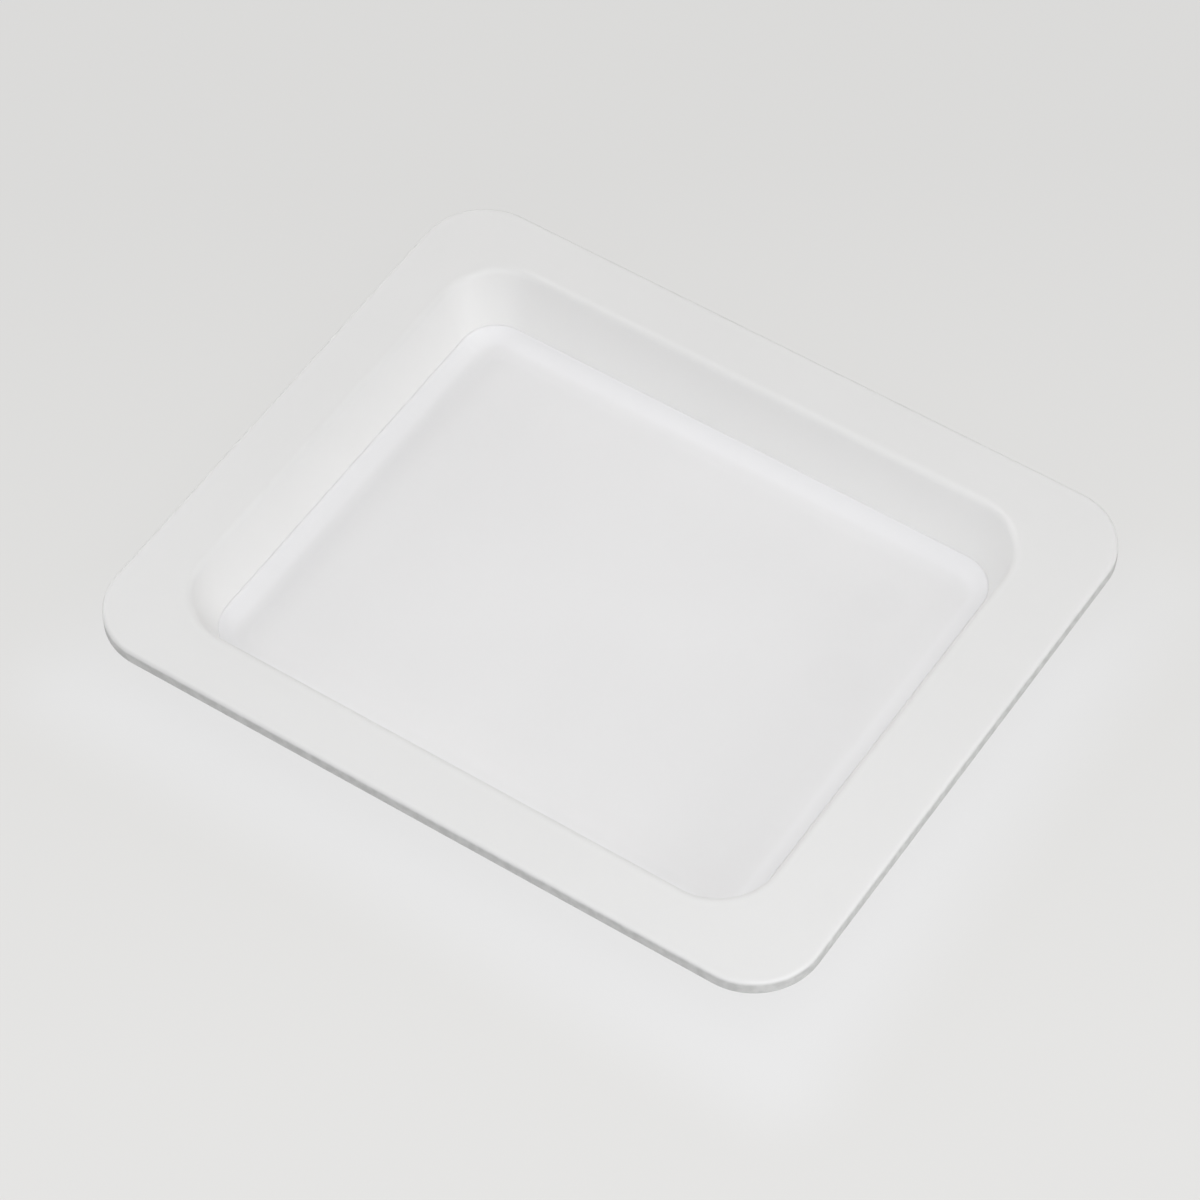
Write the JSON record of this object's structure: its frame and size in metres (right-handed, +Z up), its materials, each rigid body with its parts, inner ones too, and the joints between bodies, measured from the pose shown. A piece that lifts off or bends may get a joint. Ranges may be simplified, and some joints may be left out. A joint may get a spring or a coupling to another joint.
{
  "type": "wet palette",
  "caption": "Shallow rectangular paint tray with a flat brim, a sunken round-cornered well, and a damp sponge pad under a sheet of palette paper.",
  "frame": {"origin": "on the surface that the tray stands on, under the middle of the brim's outline", "axes": "+Z up, +X along the long side towards the wider end of the brim, +Y towards the back"},
  "size_m": [0.216, 0.178, 0.025],
  "materials": {
    "tray_plastic": "white moulded plastic, satin gloss",
    "sponge_foam": "fine-pored cellulose sponge sheet, pale yellow",
    "palette_paper": "white palette paper, damp, with a slight sheen"
  },
  "bodies": {
    "tray": {"tray": "tray_plastic"},
    "sponge": {"sponge": "sponge_foam"},
    "paper": {"paper": "palette_paper"}
  },
  "joints": [
    {"name": "sponge_lift", "type": "slide", "parent": "tray", "child": "sponge", "axis": [0, 0, 1], "range_m": [0, 0.04]},
    {"name": "paper_lift", "type": "slide", "parent": "sponge", "child": "paper", "axis": [0, 0, 1], "range_m": [0, 0.035]}
  ]
}
